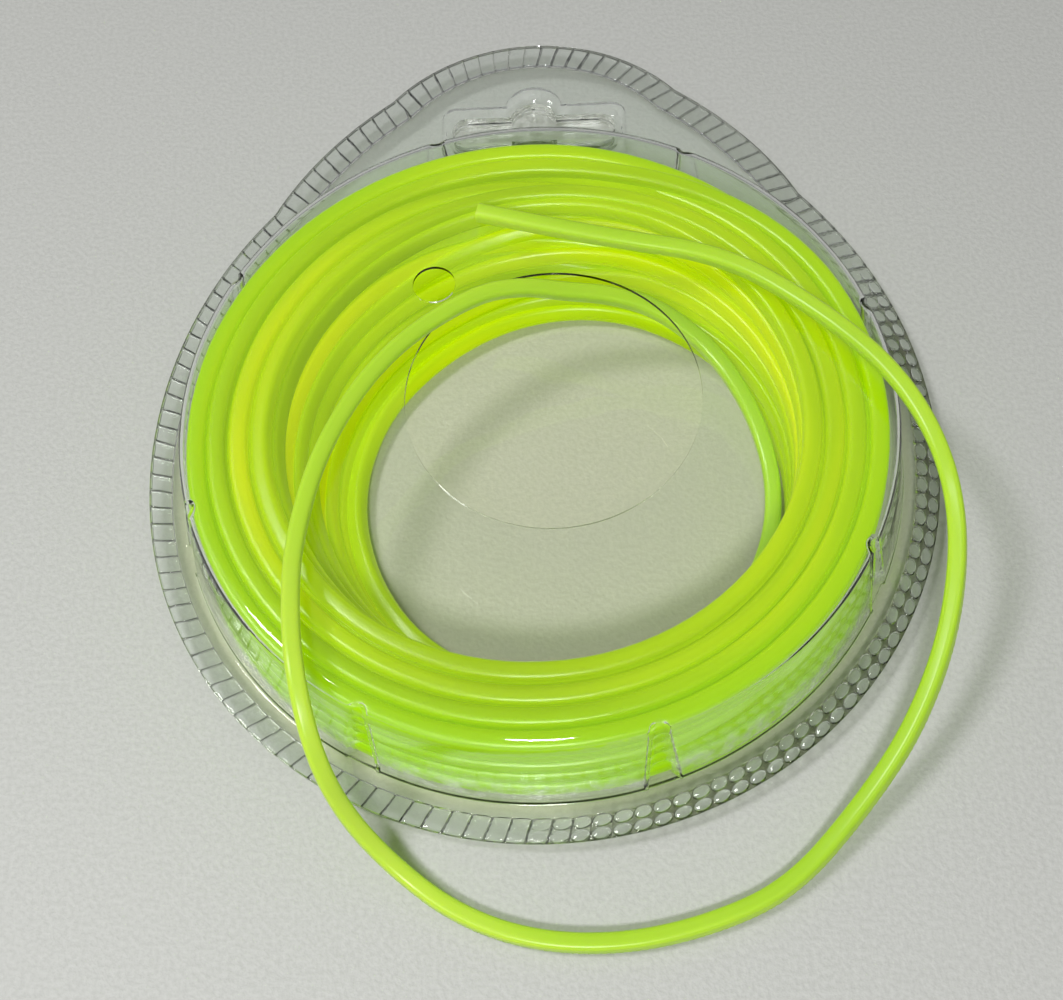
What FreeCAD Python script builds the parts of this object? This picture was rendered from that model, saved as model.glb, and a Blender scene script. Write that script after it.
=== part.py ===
import FreeCAD
import Part

import itertools
import math
import os

import Sketcher
from FreeCAD import Vector

# Clear donut pack with a coil of bright line.
# The origin is on the dome's axis, at the height of the table. +Z is up and +Y points to the hang tab.

os.makedirs("parts", exist_ok=True)
doc = FreeCAD.newDocument("line_pack")
sizes = doc.addObject("Spreadsheet::Sheet", "sizes")

DRIVING_SIZES = [
    ("sheet_thickness", 0.5, "both formed sheets"),
    ("tray_depth", 2.0, "underside of the flange above the table"),
    ("tray_rim_inset", 0.1, "rim of the back tray inside the foot of the dome's wall"),
    ("tray_lean", 1.3, "floor of the back tray inside its rim"),
    ("dome_height", 14.7, "face above the top of the flange"),
    ("wall_base_radius", 50.9, "foot of the dome's wall, at the flange"),
    ("wall_lean", 2.7, "edge of the flat face inside the wall's foot"),
    ("hole_radius", 20.0, "dispensing hole"),
    ("hole_x", 2.3, "dispensing hole, off the dome's axis"),
    ("hole_y", 0.73, "dispensing hole, off the dome's axis"),
    ("small_hole_radius", 3.0, "small round hole"),
    ("small_hole_bridge", 1.935, "face left between the two holes"),
    ("small_hole_bearing", 130.82, "small hole from the middle of the other, degrees from +X"),
    ("flute_count", 8, "notches round the wall"),
    ("flute_first_angle", 17.0, "degrees from +X"),
    ("flute_foot_radius", 2.1, "notch, at the flange"),
    ("flute_foot_outset", 0.5, "notch axis beyond the wall's foot"),
    ("flute_top_radius", 0.65, "notch, at the face"),
    ("flange_width", 5.1, "round part of the flange beyond the wall's foot"),
    ("shoulder_excess", 12.0, "curve from the flange to the tab, over the flange's radius"),
    ("flank_angle", 51.0, "degrees between +Y and the normal of the tab's straight side"),
    ("tab_top_radius", 29.6, "rounded end of the tab"),
    ("tab_reach", 22.1, "end of the tab beyond the round flange"),
    ("hang_slot_length", 26.0, "hang hole, over its rounded ends"),
    ("hang_slot_height", 5.0, "hang hole, across its arms"),
    ("hang_slot_reach", 2.5, "middle of the arms beyond the round flange"),
    ("hang_bump_radius", 3.8, "round top of the hang hole"),
    ("hang_bump_rise", 1.3, "centre of the round top above the middle of the arms"),
    ("line_diameter", 2.4, "cutting line"),
    ("bore_inset", 12.2, "top of the coil's bore inside the edge of the face"),
    ("bore_lean", 7.0, "foot of the coil's bore smaller than its top"),
    ("bore_foot_x", 4.5, "the bore's foot has slipped off the axis"),
    ("bore_foot_y", -6.2, "the bore's foot has slipped off the axis"),
    ("coil_floor_gap", 0.3, "coil above the tray"),
    ("coil_face_gap", 0.8, "coil under the face"),
    ("coil_wall_gap", 0.6, "coil inside the notches"),
    ("core_gap", 0.3, "turns over the core"),
    ("turn_gap", 0.9, "least space between turns that lie beside each other"),
    ("corner_radius", 3.5, "corner of the coil's section, at the line's middle"),
]
SMALL_HOLE_REACH = "(hole_radius + small_hole_bridge + small_hole_radius)"
DERIVED_SIZES = [
    ("face_radius", "=wall_base_radius - wall_lean", "edge of the flat face"),
    ("tray_rim_radius", "=wall_base_radius - tray_rim_inset", "back tray, outside, under the flange"),
    ("tray_floor_radius", "=tray_rim_radius - tray_lean", "back tray, outside, at the table"),
    ("flange_radius", "=wall_base_radius + flange_width", "round part of the flange"),
    ("shoulder_radius", "=flange_radius + shoulder_excess", "curve from the flange to the tab"),
    ("tab_length", "=flange_radius + tab_reach", "end of the tab from the dome's axis"),
    ("hang_slot_y", "=flange_radius + hang_slot_reach", "middle of the arms"),
    ("hang_bump_y", "=hang_slot_y + hang_bump_rise", "centre of the round top"),
    ("small_hole_x", "=hole_x + %s * cos(small_hole_bearing)" % SMALL_HOLE_REACH, "small round hole"),
    ("small_hole_y", "=hole_y + %s * sin(small_hole_bearing)" % SMALL_HOLE_REACH, "small round hole"),
    ("bore_radius", "=face_radius - bore_inset", "coil's bore at its top"),
    ("bore_foot_radius", "=bore_radius - bore_lean", "coil's bore at its foot"),
]
for row, (alias, value, meaning) in enumerate(DRIVING_SIZES + DERIVED_SIZES, 1):
    sizes.set("A%d" % row, alias)
    sizes.set("B%d" % row, str(value))
    sizes.set("C%d" % row, meaning)
    sizes.setAlias("B%d" % row, alias)
doc.recompute()


def size(alias):
    return float(sizes.get(alias))


# Heights and slopes that several pieces share, as formulas over the cells.
FLANGE_SEAM = "(sizes.tray_depth + sizes.sheet_thickness)"
FLANGE_TOP = "(sizes.tray_depth + 2 * sizes.sheet_thickness)"
FACE_TOP = "(%s + sizes.dome_height)" % FLANGE_TOP
WALL_SLOPE = "((sizes.wall_base_radius - sizes.face_radius) / sizes.dome_height)"
WALL_SETBACK = "(sizes.sheet_thickness * sqrt(1 + %s ^ 2))" % WALL_SLOPE
TRAY_SLOPE = "((sizes.tray_rim_radius - sizes.tray_floor_radius) / sizes.tray_depth)"
TRAY_SETBACK = "(sizes.sheet_thickness * sqrt(1 + %s ^ 2))" % TRAY_SLOPE
CUT_OVERRUN = 1.0


def bound(kind, name, **formulas):
    """A primitive whose properties follow formulas over the cells."""
    piece = doc.addObject(kind, name)
    for prop, formula in formulas.items():
        piece.setExpression(prop, formula)
    return piece


def standing(x="0", y="0", z="0"):
    return "placement(vector(%s; %s; %s); rotation(0; 0; 0))" % (x, y, z)


def cone(name, low, low_radius, high, high_radius):
    return bound("Part::Cone", name, Radius1=low_radius, Radius2=high_radius,
                 Height="%s - %s" % (high, low), Placement=standing(z=low))


def upright_hole(name, radius, x, y, low, high):
    return bound("Part::Cylinder", name, Radius=radius, Height="%s - %s" % (high, low),
                 Placement=standing(x, y, low))


def joined(name, pieces):
    union = doc.addObject("Part::MultiFuse", name)
    union.Shapes = pieces
    return union


def cut(name, base, tool):
    difference = doc.addObject("Part::Cut", name)
    difference.Base = base
    difference.Tool = tool
    return difference


# Outline of both flanges: a circle that widens through two shoulders into the hang tab.
def outline_sketch():
    flange = size("flange_radius")
    shoulder = size("shoulder_radius")
    top = size("tab_top_radius")
    top_y = size("tab_length") - top
    tilt = math.radians(size("flank_angle"))
    normal = (math.sin(tilt), math.cos(tilt))
    past_centre = top_y * normal[1] + top - shoulder
    along = math.sqrt((shoulder - flange) ** 2 - past_centre ** 2)
    centre_x = past_centre * normal[0] - along * normal[1]
    centre_y = past_centre * normal[1] + along * normal[0]
    foot_angle = math.atan2(-centre_y, -centre_x)
    flank_angle = math.pi / 2 - tilt

    def arc(x, y, radius, start, end):
        circle = Part.Circle(Vector(x, y, 0), Vector(0, 0, 1), radius)
        return Part.ArcOfCircle(circle, start, end)

    def flank(side):
        shoulder_end = Vector(side * (centre_x + shoulder * normal[0]), centre_y + shoulder * normal[1], 0)
        top_end = Vector(side * top * normal[0], top_y + top * normal[1], 0)
        return shoulder_end, top_end

    right_low, right_high = flank(1)
    left_low, left_high = flank(-1)
    sketch = doc.addObject("Sketcher::SketchObject", "flange_outline")
    base_arc, right_arc, right_line, top_arc, left_line, left_arc = sketch.addGeometry([
        arc(0, 0, flange, math.pi - foot_angle, 2 * math.pi + foot_angle),
        arc(centre_x, centre_y, shoulder, foot_angle, flank_angle),
        Part.LineSegment(right_low, right_high),
        arc(0, top_y, top, flank_angle, math.pi - flank_angle),
        Part.LineSegment(left_high, left_low),
        arc(-centre_x, centre_y, shoulder, math.pi - flank_angle, math.pi - foot_angle),
    ], False)
    start, end, middle = 1, 2, 3
    loop = [base_arc, right_arc, right_line, top_arc, left_line, left_arc]
    for edge, following in zip(loop, loop[1:] + loop[:1]):
        sketch.addConstraint(Sketcher.Constraint("Tangent", edge, end, following, start))
    sketch.addConstraint(Sketcher.Constraint("Coincident", base_arc, middle, -1, start))
    sketch.addConstraint(Sketcher.Constraint("PointOnObject", top_arc, middle, -2))

    def driven(name, formula, *definition):
        index = sketch.addConstraint(Sketcher.Constraint(*definition))
        sketch.renameConstraint(index, name)
        sketch.setExpression("Constraints." + name, formula)

    driven("flange", "sizes.flange_radius", "Radius", base_arc, flange)
    driven("right_shoulder", "sizes.shoulder_radius", "Radius", right_arc, shoulder)
    driven("left_shoulder", "sizes.shoulder_radius", "Radius", left_arc, shoulder)
    driven("tab_top", "sizes.tab_top_radius", "Radius", top_arc, top)
    driven("tab_reach", "sizes.tab_length - sizes.tab_top_radius", "DistanceY", -1, start, top_arc, middle, top_y)
    driven("right_flank", "(180 - sizes.flank_angle) * 1 deg", "Angle", right_line, math.pi - tilt)
    driven("left_flank", "(sizes.flank_angle - 180) * 1 deg", "Angle", left_line, tilt - math.pi)
    return sketch


outline = outline_sketch()


def flange_plate(name, low):
    plate = doc.addObject("Part::Extrusion", name)
    plate.Base = outline
    plate.DirMode = "Normal"
    plate.Solid = True
    plate.setExpression("LengthFwd", "sizes.sheet_thickness")
    plate.setExpression("Placement", standing(z=low))
    return plate


def hang_hole(name):
    """A slot with rounded ends and a round top in its middle, through both sheets."""
    low = "0"
    end_radius = "sizes.hang_slot_height / 2"
    end_x = "(sizes.hang_slot_length - sizes.hang_slot_height) / 2"
    through = "%s + %s" % (FLANGE_TOP, CUT_OVERRUN)
    arms = bound("Part::Box", name + "_arms", Length="sizes.hang_slot_length - sizes.hang_slot_height",
                 Width="sizes.hang_slot_height", Height=through,
                 Placement=standing("-" + end_x, "sizes.hang_slot_y - " + end_radius))
    right = upright_hole(name + "_right", end_radius, end_x, "sizes.hang_slot_y", low, through)
    left = upright_hole(name + "_left", end_radius, "-" + end_x, "sizes.hang_slot_y", low, through)
    bump = upright_hole(name + "_bump", "sizes.hang_bump_radius", "0", "sizes.hang_bump_y", low, through)
    return joined(name, [arms, right, left, bump])


# Notches: cones that lean in with the wall, wide at the flange and narrow at the face. The inner skin
# follows them one sheet thickness further in.
def flutes(name, thickness):
    lean = "atan((%s * sizes.dome_height + sizes.flute_foot_outset) / sizes.dome_height)" % WALL_SLOPE
    length = "(sizes.dome_height / cos(%s))" % lean
    taper = "((sizes.flute_foot_radius - sizes.flute_top_radius) / %s)" % length
    foot_radius = "sizes.flute_foot_radius + %s + %s * %s" % (thickness, taper, CUT_OVERRUN)
    top_radius = "sizes.flute_top_radius + %s - %s * %s" % (thickness, taper, CUT_OVERRUN)
    notches = []
    for index in range(int(size("flute_count"))):
        turn = "rotation(vector(0; 0; 1); sizes.flute_first_angle + %d * 360 / sizes.flute_count)" % index
        foot = "vector(sizes.wall_base_radius + sizes.flute_foot_outset; 0; %s)" % FLANGE_TOP
        leaning = "placement(%s; rotation(vector(0; 1; 0); -(%s)))" % (foot, lean)
        overrun = "placement(vector(0; 0; -%s); rotation(0; 0; 0))" % CUT_OVERRUN
        notches.append(bound(
            "Part::Cone", "%s_%d" % (name, index), Radius1=foot_radius, Radius2=top_radius,
            Height="%s + 2 * %s" % (length, CUT_OVERRUN),
            Placement="placement(vector(0; 0; 0); %s) * %s * %s" % (turn, leaning, overrun)))
    return joined(name, notches)


# Front cover: one formed sheet with the dome, the flange and the tab.
def front_cover():
    foot = "sizes.wall_base_radius + %s * sizes.sheet_thickness" % WALL_SLOPE
    outside = cone("dome_outside", FLANGE_SEAM, foot, FACE_TOP, "sizes.face_radius")
    notched = cut("dome_notched", outside, flutes("notch", "0"))
    solid = joined("dome_and_flange", [notched, flange_plate("front_flange", FLANGE_SEAM)])
    face_underside = "(%s - sizes.sheet_thickness)" % FACE_TOP
    under_face = "sizes.face_radius + %s * sizes.sheet_thickness - %s" % (WALL_SLOPE, WALL_SETBACK)
    inside = cone("dome_inside", FLANGE_SEAM, "%s - %s" % (foot, WALL_SETBACK), face_underside, under_face)
    hollow = cut("dome_hollow", inside, flutes("notch_skin", "sizes.sheet_thickness"))
    above = "(%s + %s)" % (FACE_TOP, CUT_OVERRUN)
    below = "(%s - %s)" % (face_underside, CUT_OVERRUN)
    holes = joined("front_holes", [
        upright_hole("dispensing_hole", "sizes.hole_radius", "sizes.hole_x", "sizes.hole_y", below, above),
        upright_hole("small_hole", "sizes.small_hole_radius", "sizes.small_hole_x", "sizes.small_hole_y",
                     below, above),
        hang_hole("front_hang_hole")])
    return cut("front_cover", cut("front_shell", solid, hollow), holes)


# Back cover: one formed sheet, a shallow tray with the same flange.
def back_cover():
    tray = cone("tray_outside", "0", "sizes.tray_floor_radius", "sizes.tray_depth", "sizes.tray_rim_radius")
    solid = joined("tray_and_flange", [tray, flange_plate("back_flange", "sizes.tray_depth")])
    lift = "%s * sizes.sheet_thickness - %s" % (TRAY_SLOPE, TRAY_SETBACK)
    hollow = cone("tray_inside", "sizes.sheet_thickness", "sizes.tray_floor_radius + " + lift,
                  FLANGE_SEAM, "sizes.tray_rim_radius + " + lift)
    return cut("back_cover", cut("back_shell", solid, hollow), hang_hole("back_hang_hole"))


# Levels of the coil, at the middle of the line.
line_radius = size("line_diameter") / 2
flange_top = size("tray_depth") + 2 * size("sheet_thickness")
face_top = flange_top + size("dome_height")
low_level = size("sheet_thickness") + size("coil_floor_gap") + line_radius
top_level = face_top - size("sheet_thickness") - size("coil_face_gap") - line_radius


def notch_skin_radius(z):
    """How near to the axis the inner skin of the notches comes at one height."""
    foot = size("wall_base_radius") + size("flute_foot_outset") - size("flute_foot_radius")
    top = size("face_radius") - size("flute_top_radius")
    return foot + (top - foot) * (z - flange_top) / size("dome_height") - size("sheet_thickness")


def side_radius(z):
    return notch_skin_radius(z) - size("coil_wall_gap") - line_radius


def unit(direction):
    return direction / direction.Length


def bore_foot_distance(angle):
    """Distance from the axis to the bore's foot, whose circle is off the axis."""
    x, y = size("bore_foot_x"), size("bore_foot_y")
    along = x * math.cos(angle) + y * math.sin(angle)
    across = x * math.sin(angle) - y * math.cos(angle)
    return along + math.sqrt(size("bore_foot_radius") ** 2 - across ** 2)


# Core: the hidden layers under the outer turns, as one ring.
def line_core():
    gap = line_radius + size("core_gap")
    top = top_level - gap
    bottom = low_level - line_radius
    rim = Part.makeCone(side_radius(bottom) - gap, side_radius(top) - gap, top - bottom,
                        Vector(0, 0, bottom))
    slope = math.hypot(size("bore_foot_x"), size("bore_foot_y")) + size("bore_radius") - size("bore_foot_radius")
    lean = math.atan2(slope, top_level - low_level)
    setback = line_radius + gap / math.cos(lean)

    def ring(z):
        share = (z - low_level) / (top_level - low_level)
        radius = size("bore_foot_radius") + share * (size("bore_radius") - size("bore_foot_radius")) + setback
        middle = Vector(size("bore_foot_x") * (1 - share), size("bore_foot_y") * (1 - share), z)
        return Part.Wire(Part.makeCircle(radius, middle))

    bore = Part.makeLoft([ring(bottom - CUT_OVERRUN), ring(top + CUT_OVERRUN)], True, True)
    ring_solid = rim.cut(bore)
    top_edges = [edge for edge in ring_solid.Edges if edge.BoundBox.ZMin > top - CUT_OVERRUN / 2
                 and len(edge.Vertexes) == 1]
    core = doc.addObject("Part::Feature", "line_core")
    core.Shape = ring_solid.makeFillet(size("corner_radius") - gap, top_edges)
    return core


BROW_REACH = 1.1


# Outer layer of turns: one line that climbs the coil's outer side, crosses its top to the bore and goes
# down the bore. A section's path is two straight stretches joined by a rounded corner, as (radius, height).
def rounded_length(first, corner, last):
    turn = (corner - first).getAngle(last - corner)
    saved = size("corner_radius") * (2 * math.tan(turn / 2) - turn)
    return (corner - first).Length + (last - corner).Length - saved


def rounded_path(first, corner, last, share):
    """The point at a share of the path's length."""
    radius = size("corner_radius")
    inward = unit(corner - first)
    outward = unit(last - corner)
    turn = inward.getAngle(outward)
    start = corner - inward * (radius * math.tan(turn / 2))
    end = corner + outward * (radius * math.tan(turn / 2))
    before = (start - first).Length
    rounding = radius * turn
    passed = share * rounded_length(first, corner, last)
    if passed < before:
        return first + inward * passed
    if passed < before + rounding:
        middle = corner + unit(outward - inward) * (radius / math.cos(turn / 2))
        swept = (passed - before) / radius
        return middle + (start - middle) * math.cos(swept) + inward * (radius * math.sin(swept))
    return end + outward * (passed - before - rounding)


def brow():
    return Vector(size("bore_radius") + line_radius, top_level)


def brow_start():
    """Where the top ends, clear of the brow's rounded corner even where the bore leans outwards."""
    return brow() + Vector(BROW_REACH * size("corner_radius"), 0)


def outer_section():
    """First point, corner and last point up the coil's side and over its top."""
    return Vector(side_radius(low_level), low_level), Vector(side_radius(top_level), top_level), brow_start()


def bore_section(angle):
    """First point, corner and last point over the brow and down the bore."""
    return brow_start(), brow(), Vector(bore_foot_distance(angle) + line_radius, low_level)


def turn_count(section):
    """Turns that fit along a section, in whole quarters."""
    return math.floor(4 * rounded_length(*section) / (size("line_diameter") + size("turn_gap"))) / 4


# Free end: where the line goes once it leaves the coil, point by point. It rises from the foot of the bore
# through the dispensing hole, crosses the face, drops over the left of the rim, lies on the table, comes
# back over the right of the rim and ends on the face.
FREE_END_ROUTE = [
    (11.8, -33.4, 2.0), (20.1, -31.2, 2.0), (28.4, -22.3, 2.2), (32.6, -11.1, 2.8), (31.8, 0.8, 4.2),
    (26.3, 11.7, 8.0), (17.8, 17.0, 13.2), (10.5, 18.3, 15.4), (4.4, 18.1, 16.8), (-1.6, 17.9, 18.8),
    (-8.6, 15.8, 20.0), (-20.2, 7.1, 20.0), (-28.0, -6.3, 19.9), (-31.1, -20.8, 19.9), (-30.6, -32.2, 21.4),
    (-29.2, -41.2, 21.4), (-27.3, -48.9, 16.2), (-24.6, -53.6, 8.4), (-19.2, -58.6, 2.8), (-11.7, -64.1, 1.25),
    (-2.3, -67.6, 1.25), (8.7, -68.3, 1.25), (19.8, -66.2, 1.25), (30.0, -62.0, 1.5), (39.3, -52.7, 3.5),
    (46.4, -43.8, 7.2), (51.6, -32.7, 11.5), (53.6, -20.9, 16.5), (51.7, -10.9, 21.2), (46.9, 0.5, 21.6),
    (38.1, 11.8, 20.0), (26.3, 21.4, 19.7), (9.1, 25.2, 19.7), (-7.7, 30.3, 19.7),
]
ARC_SHARE = 0.45
DRIFT_DEGREES = 120
SMALL_ANGLE = 0.02
NEIGHBOUR_POINTS = 30
# The straight ends where the two sets of turns meet lie like a chord, a little inside the turn's circle.
MEETING_INSET = 0.5


def biarc(start, start_heading, end, end_heading):
    """Two arcs that leave one point and reach another in the given directions."""
    chord = end - start
    spread = 2 * (1 - start_heading.dot(end_heading))
    pull = chord.dot(start_heading + end_heading)
    reach = (-pull + math.sqrt(pull ** 2 + spread * chord.dot(chord))) / spread
    joint = (start + start_heading * reach + end - end_heading * reach) / 2

    def arc_middle(point, heading):
        span = joint - point
        along = unit(span)
        across = unit(heading - along * heading.dot(along))
        return (point + joint) / 2 + across * (span.Length / 2 * math.tan(heading.getAngle(span) / 2))

    return [Part.Arc(start, arc_middle(start, start_heading), joint).toShape(),
            Part.Arc(joint, arc_middle(end, end_heading * -1), end).toShape()]


def tube(name, edges, start, heading):
    """A round line swept along joined edges, and its volume against its length."""
    path = Part.Wire(edges)
    profile = Part.Wire(Part.makeCircle(line_radius, start, heading))
    swept = path.makePipeShell([profile], True, False)
    section = math.pi * line_radius ** 2
    print(name, "length %.1f mm, volume over section times length %.5f"
          % (path.Length, swept.Volume / (section * path.Length)))
    piece = doc.addObject("Part::Feature", name)
    piece.Shape = swept
    return piece, path


def free_end():
    route = [Vector(*point) for point in FREE_END_ROUTE]
    edges = []
    radii = []
    cursor = route[0]
    for before, corner, after in zip(route, route[1:], route[2:]):
        inward = unit(corner - before)
        outward = unit(after - corner)
        turn = inward.getAngle(outward)
        back = ARC_SHARE * min((corner - before).Length, (after - corner).Length)
        radius = back / math.tan(turn / 2)
        start = corner - inward * back
        end = corner + outward * back
        middle = corner + unit(outward - inward) * (radius / math.cos(turn / 2) - radius)
        edges.append(Part.LineSegment(cursor, start).toShape())
        edges.append(Part.Arc(start, middle, end).toShape())
        radii.append(radius)
        cursor = end
    edges.append(Part.LineSegment(cursor, route[-1]).toShape())
    print("free end radii", ", ".join("%.1f" % radius for radius in radii))
    return tube("line_free_end", edges, route[0], unit(route[1] - route[0]))


def winding():
    """The outer turns and the bore's turns, which meet where the line reaches the coil's brow."""
    drift = size("line_diameter")
    drift_turn = math.radians(DRIFT_DEGREES)
    quarter = math.pi / 2
    leaving = Vector(*FREE_END_ROUTE[0])
    leaving_heading = unit(Vector(*FREE_END_ROUTE[1]) - leaving)
    last_angle = math.atan2(leaving.y, leaving.x)
    steepest = math.atan2(size("bore_foot_y"), size("bore_foot_x"))
    outer_steps = round(4 * turn_count(outer_section()))
    bore_steps = round(4 * turn_count(bore_section(steepest)))
    meeting_angle = last_angle - bore_steps * quarter
    first_angle = meeting_angle - outer_steps * quarter

    def on_path(angle):
        if angle < meeting_angle:
            place = rounded_path(*outer_section(), (angle - first_angle) / (meeting_angle - first_angle))
        else:
            share = (angle - meeting_angle) / (last_angle - meeting_angle)
            place = rounded_path(*bore_section(angle), share)
        eased = min(max(1 - (last_angle - angle) / drift_turn, 0), 1)
        radius = place.x - drift * eased ** 2 * (3 - 2 * eased)
        return Vector(radius * math.cos(angle), radius * math.sin(angle), place.y)

    def station(step):
        angle = first_angle + step * quarter
        place = on_path(angle)
        heading = unit(on_path(angle + SMALL_ANGLE) - on_path(max(angle - SMALL_ANGLE, first_angle)))
        if step == outer_steps:
            place -= Vector(math.cos(angle), math.sin(angle)) * MEETING_INSET
        return place, heading

    stations = [station(step) for step in range(outer_steps + bore_steps)] + [(leaving, leaving_heading)]
    straight = size("line_diameter")

    def turns(name, first, last):
        start, start_heading = stations[first]
        end, end_heading = stations[last]
        knots = [(start + start_heading * straight, start_heading)] + stations[first + 1:last]
        knots.append((end - end_heading * straight, end_heading))
        edges = [Part.LineSegment(start, knots[0][0]).toShape()]
        for (here, heading), (there, next_heading) in zip(knots, knots[1:]):
            edges += biarc(here, heading, there, next_heading)
        edges.append(Part.LineSegment(knots[-1][0], end).toShape())
        return tube(name, edges, start, start_heading)

    outer = turns("line_outer_turns", 0, outer_steps)
    return outer, turns("line_inner_turns", outer_steps, outer_steps + bore_steps)


def least_gap(paths):
    """Least clear distance between stretches of the line that aren't neighbours along it."""
    places = [point for path in paths for point in path.discretize(Number=int(path.Length))]
    cell = 2 * size("line_diameter")
    cells = {}
    for index, point in enumerate(places):
        key = tuple(math.floor(value / cell) for value in point)
        cells.setdefault(key, []).append(index)
    least = math.inf
    for key, indices in cells.items():
        nearby = [other for step in itertools.product((-1, 0, 1), repeat=3)
                  for other in cells.get(tuple(a + b for a, b in zip(key, step)), ())]
        for index in indices:
            for other in nearby:
                if other - index > NEIGHBOUR_POINTS:
                    least = min(least, (places[other] - places[index]).Length)
    return least - size("line_diameter")


front = front_cover()
back = back_cover()
core = line_core()
(outer_turns, outer_path), (inner_turns, inner_path) = winding()
loose_end, loose_path = free_end()
print("least gap of the line to itself %.2f mm" % least_gap([outer_path, inner_path, loose_path]))
doc.recompute()

for item in doc.Objects:
    if "Invalid" in item.State or "Error" in item.State:
        raise RuntimeError("%s failed: %s" % (item.Name, item.State))
for piece in (front, back, core, outer_turns, inner_turns, loose_end):
    shape = piece.Shape
    if shape.isNull() or not shape.isValid() or len(shape.Solids) != 1:
        raise RuntimeError("%s has no single valid solid" % piece.Label)
    print(piece.Label, "volume %.1f mm3" % shape.Volume, shape.BoundBox)
    shape.exportStep("parts/%s.step" % piece.Label)
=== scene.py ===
import math

import bmesh
import bpy
import numpy as np
from mathutils import Matrix, Vector


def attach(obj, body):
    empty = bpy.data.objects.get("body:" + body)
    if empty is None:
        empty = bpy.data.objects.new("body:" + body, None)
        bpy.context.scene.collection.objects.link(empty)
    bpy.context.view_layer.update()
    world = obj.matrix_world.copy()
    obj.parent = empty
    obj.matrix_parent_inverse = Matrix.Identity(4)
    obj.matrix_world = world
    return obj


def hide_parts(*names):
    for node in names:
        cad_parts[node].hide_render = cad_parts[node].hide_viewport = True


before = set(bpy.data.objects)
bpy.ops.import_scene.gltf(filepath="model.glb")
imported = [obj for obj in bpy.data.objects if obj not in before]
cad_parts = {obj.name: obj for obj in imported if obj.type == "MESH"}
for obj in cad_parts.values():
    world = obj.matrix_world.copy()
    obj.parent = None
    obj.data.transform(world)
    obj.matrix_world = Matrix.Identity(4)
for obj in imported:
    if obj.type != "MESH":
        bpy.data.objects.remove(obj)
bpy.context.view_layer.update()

# Camera. The pack lies on a table and is seen from a standing person's side of it, about 62 degrees
# above the table, with the hang tab away from the viewer.


def placed(name, data):
    """An object in the scene that shows a mesh, or is a lamp or the camera."""
    thing = bpy.data.objects.new(name, data)
    bpy.context.scene.collection.objects.link(thing)
    return thing


camera_data = bpy.data.cameras.new("camera")
camera_data.sensor_width = 36
camera_data.lens = 50.8
camera = placed("camera", camera_data)
eye = (0.00596, -0.10521, 0.1892)
image_right = (0.9988, -0.0146, -0.0471)
image_up = (0.0348, 0.8853, 0.4636)
away_from_table = (0.0349, -0.4647, 0.8847)
camera.matrix_world = Matrix([*zip(image_right, image_up, away_from_table, eye), (0, 0, 0, 1)])
bpy.context.scene.camera = camera

# Free end of the line: extruded nylon with a squarish section, 2.4 mm, cut square at its tip. It rises
# from the foot of the coil's bore through the round hole, crosses the face, drops to the table over the
# left of the rim, comes back over the right of the rim and ends lying on the face.
MM = 0.001
line_diameter = 2.4 * MM
section_points = 20
# Control points of the line's middle, from the foot of the bore to its cut end.
free_route = [
    (0.0118, -0.0334, 0.0020), (0.0201, -0.0312, 0.0020), (0.0284, -0.0223, 0.0022),
    (0.0326, -0.0111, 0.0028), (0.0318, 0.0008, 0.0042), (0.0263, 0.0117, 0.0080),
    (0.0178, 0.0170, 0.0132), (0.0105, 0.0183, 0.0154), (0.0044, 0.0181, 0.0168),
    (-0.0016, 0.0179, 0.0188), (-0.0086, 0.0158, 0.0200), (-0.0202, 0.0071, 0.0200),
    (-0.0280, -0.0063, 0.0199), (-0.0311, -0.0208, 0.0199), (-0.0306, -0.0322, 0.0214),
    (-0.0292, -0.0412, 0.0214), (-0.0273, -0.0489, 0.0162), (-0.0246, -0.0536, 0.0084),
    (-0.0192, -0.0586, 0.0028), (-0.0117, -0.0641, 0.00125), (-0.0023, -0.0676, 0.00125),
    (0.0087, -0.0683, 0.00125), (0.0198, -0.0662, 0.00125), (0.0300, -0.0620, 0.0015),
    (0.0393, -0.0527, 0.0035), (0.0464, -0.0438, 0.0072), (0.0516, -0.0327, 0.0115),
    (0.0536, -0.0209, 0.0165), (0.0517, -0.0109, 0.0212), (0.0469, 0.0005, 0.0216),
    (0.0381, 0.0118, 0.0200), (0.0263, 0.0214, 0.0197), (0.0091, 0.0252, 0.0197),
    (-0.0077, 0.0303, 0.0197),
]


def spline_points(name, points):
    """Points along the smooth line that has these as its control points."""
    curve = bpy.data.curves.new(name, "CURVE")
    curve.dimensions = "3D"
    curve.resolution_u = 24
    spline = curve.splines.new("NURBS")
    spline.points.add(len(points) - 1)
    for knot, point in zip(spline.points, points):
        knot.co = (*point, 1)
    spline.order_u = 3
    spline.use_endpoint_u = True
    bare = bpy.data.objects.new(name, curve)
    traced = bpy.data.meshes.new_from_object(bare)
    line = np.array([vertex.co for vertex in traced.vertices])
    bpy.data.meshes.remove(traced)
    bpy.data.objects.remove(bare)
    bpy.data.curves.remove(curve)
    return line


def evenly(line, step):
    """The same line with points about a step apart, and the distance along it to each of them."""
    gone = np.concatenate([[0], np.cumsum(np.linalg.norm(np.diff(line, axis=0), axis=1))])
    along = np.linspace(0, gone[-1], int(gone[-1] / step) + 1)
    return np.stack([np.interp(along, gone, line[:, axis]) for axis in range(3)], axis=1), along


def line_section():
    """The line's section: a square with well rounded corners, about its middle."""
    half_across_flats = 0.48 * line_diameter
    squareness = 5
    angles = np.arange(section_points) * 2 * math.pi / section_points
    x, y = np.cos(angles), np.sin(angles)
    reach = (np.abs(x) ** squareness + np.abs(y) ** squareness) ** (-1 / squareness)
    return np.stack([x * reach, y * reach], axis=1) * half_across_flats


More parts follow.
